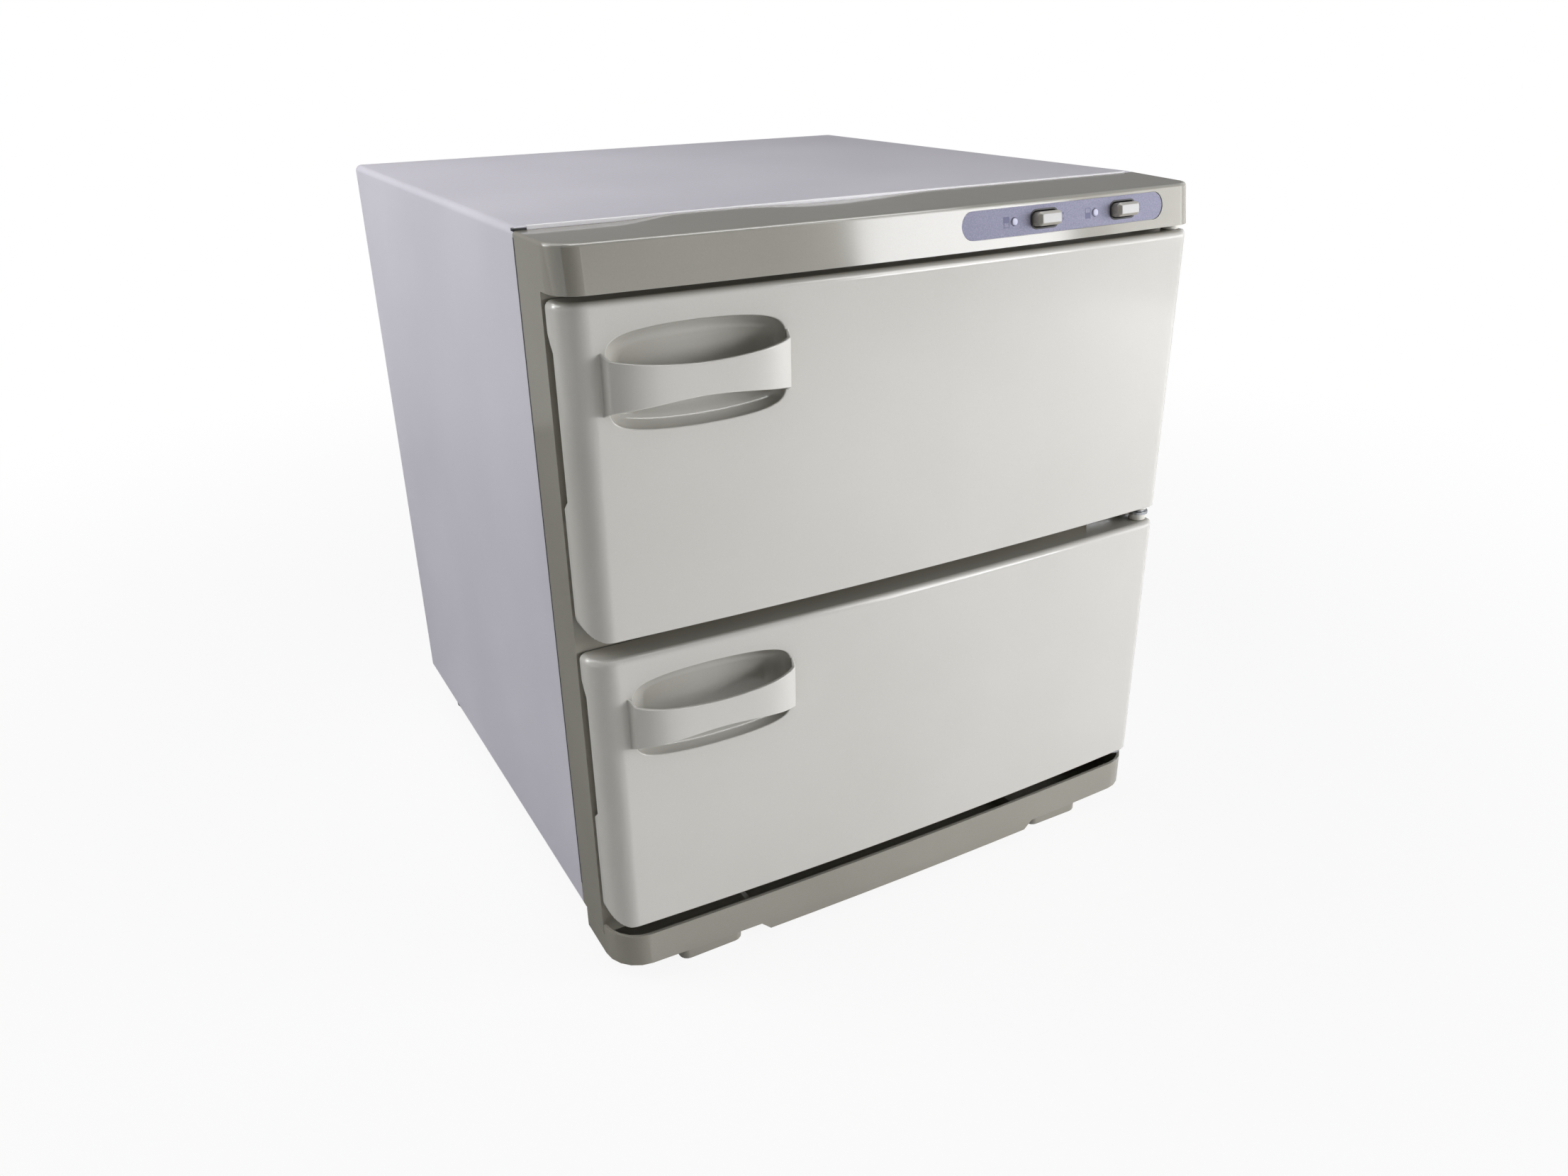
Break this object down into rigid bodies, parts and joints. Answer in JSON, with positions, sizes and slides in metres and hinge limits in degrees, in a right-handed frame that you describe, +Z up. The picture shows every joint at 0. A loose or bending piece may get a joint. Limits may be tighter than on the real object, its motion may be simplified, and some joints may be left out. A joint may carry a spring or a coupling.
{
  "type": "hot towel cabinet",
  "caption": "Two-door electric towel warmer: painted steel cabinet with stacked doors, strap handles, push switches on the header and a pull-out drip tray.",
  "frame": {"origin": "centre of the overall box at the floor under the feet", "axes": "+X to the hinge side, +Y to the cabinet's back, +Z up; the doors face -Y"},
  "size_m": [0.45, 0.4924, 0.482],
  "materials": {
    "shell_paint": "smooth pale lavender-white powder paint",
    "grey_moulding": "smooth warm-grey moulding",
    "white_moulding": "smooth glossy warm-white moulding",
    "label_film": "satin blue-grey printed film",
    "lamp_lens": "clear lens",
    "switch_black": "black moulding",
    "liner_aluminium": "satin sheet",
    "plain_steel": "plated steel",
    "chrome_wire": "bright chromed wire",
    "glass_wool": "yellow glass-wool jacket",
    "core_foam": "pale rigid foam",
    "heater_sheath": "heat-darkened sheath",
    "bakelite": "dark heat-proof moulding",
    "nylon": "white nylon",
    "seal_rubber": "grey silicone seal",
    "black_rubber": "black rubber",
    "magnet_ferrite": "dark ferrite block",
    "terminal_white": "off-white moulding",
    "loom_sleeve": "black woven sleeve"
  },
  "bodies": {
    "cabinet": {"base_plate": "plain_steel", "control_label": "label_film", "cord_gland": "black_rubber", "front_foot_left": "grey_moulding", "front_foot_right": "grey_moulding", "front_frame": "grey_moulding", "hinge_bracket_bottom": "plain_steel", "hinge_bracket_middle": "plain_steel", "hinge_pin_bottom": "plain_steel", "hinge_pin_middle": "plain_steel", "hinge_pin_top": "plain_steel", "hinge_washer_middle": "plain_steel", "lamp_lens_left": "lamp_lens", "lamp_lens_right": "lamp_lens", "lower_catch_magnet": "magnet_ferrite", "lower_heater": "heater_sheath", "lower_insulation": "glass_wool", "lower_liner": "liner_aluminium", "lower_rack": "chrome_wire", "lower_thermal_fuse": "terminal_white", "lower_thermostat": "bakelite", "outer_shell": "shell_paint", "rear_foot_left": "black_rubber", "rear_foot_right": "black_rubber", "rear_panel": "shell_paint", "switch_body_left": "switch_black", "switch_body_right": "switch_black", "terminal_block": "terminal_white", "upper_catch_magnet": "magnet_ferrite", "upper_heater": "heater_sheath", "upper_insulation": "glass_wool", "upper_liner": "liner_aluminium", "upper_rack": "chrome_wire", "upper_thermal_fuse": "terminal_white", "upper_thermostat": "bakelite", "wiring_loom": "loom_sleeve"},
    "upper_door": {"upper_bush_bottom": "nylon", "upper_bush_top": "nylon", "upper_door_foam": "core_foam", "upper_door_gasket": "seal_rubber", "upper_door_liner": "white_moulding", "upper_door_shell": "white_moulding", "upper_strike_plate": "plain_steel"},
    "lower_door": {"lower_bush_bottom": "nylon", "lower_bush_top": "nylon", "lower_door_foam": "core_foam", "lower_door_gasket": "seal_rubber", "lower_door_liner": "white_moulding", "lower_door_shell": "white_moulding", "lower_strike_plate": "plain_steel"},
    "tray": {"drip_tray": "grey_moulding"},
    "left_switch": {"switch_cap_left": "nylon"},
    "right_switch": {"switch_cap_right": "nylon"}
  },
  "joints": [
    {"name": "upper_door_hinge", "type": "hinge", "parent": "cabinet", "child": "upper_door", "pos_m": [0.213, -0.21691, 0.2518], "axis": [0, 0, 1], "range_deg": [0, 120]},
    {"name": "lower_door_hinge", "type": "hinge", "parent": "cabinet", "child": "lower_door", "pos_m": [0.213, -0.21691, 0.0418], "axis": [0, 0, 1], "range_deg": [0, 120]},
    {"name": "drip_tray_slide", "type": "slide", "parent": "cabinet", "child": "tray", "axis": [0, -1, 0], "range_m": [0, 0.06]},
    {"name": "left_switch_press", "type": "slide", "parent": "cabinet", "child": "left_switch", "axis": [0, 0.9884, -0.1521], "range_m": [0, 0.003], "stiffness_N_per_m": 400},
    {"name": "right_switch_press", "type": "slide", "parent": "cabinet", "child": "right_switch", "axis": [0, 0.9884, -0.1521], "range_m": [0, 0.003], "stiffness_N_per_m": 400}
  ]
}
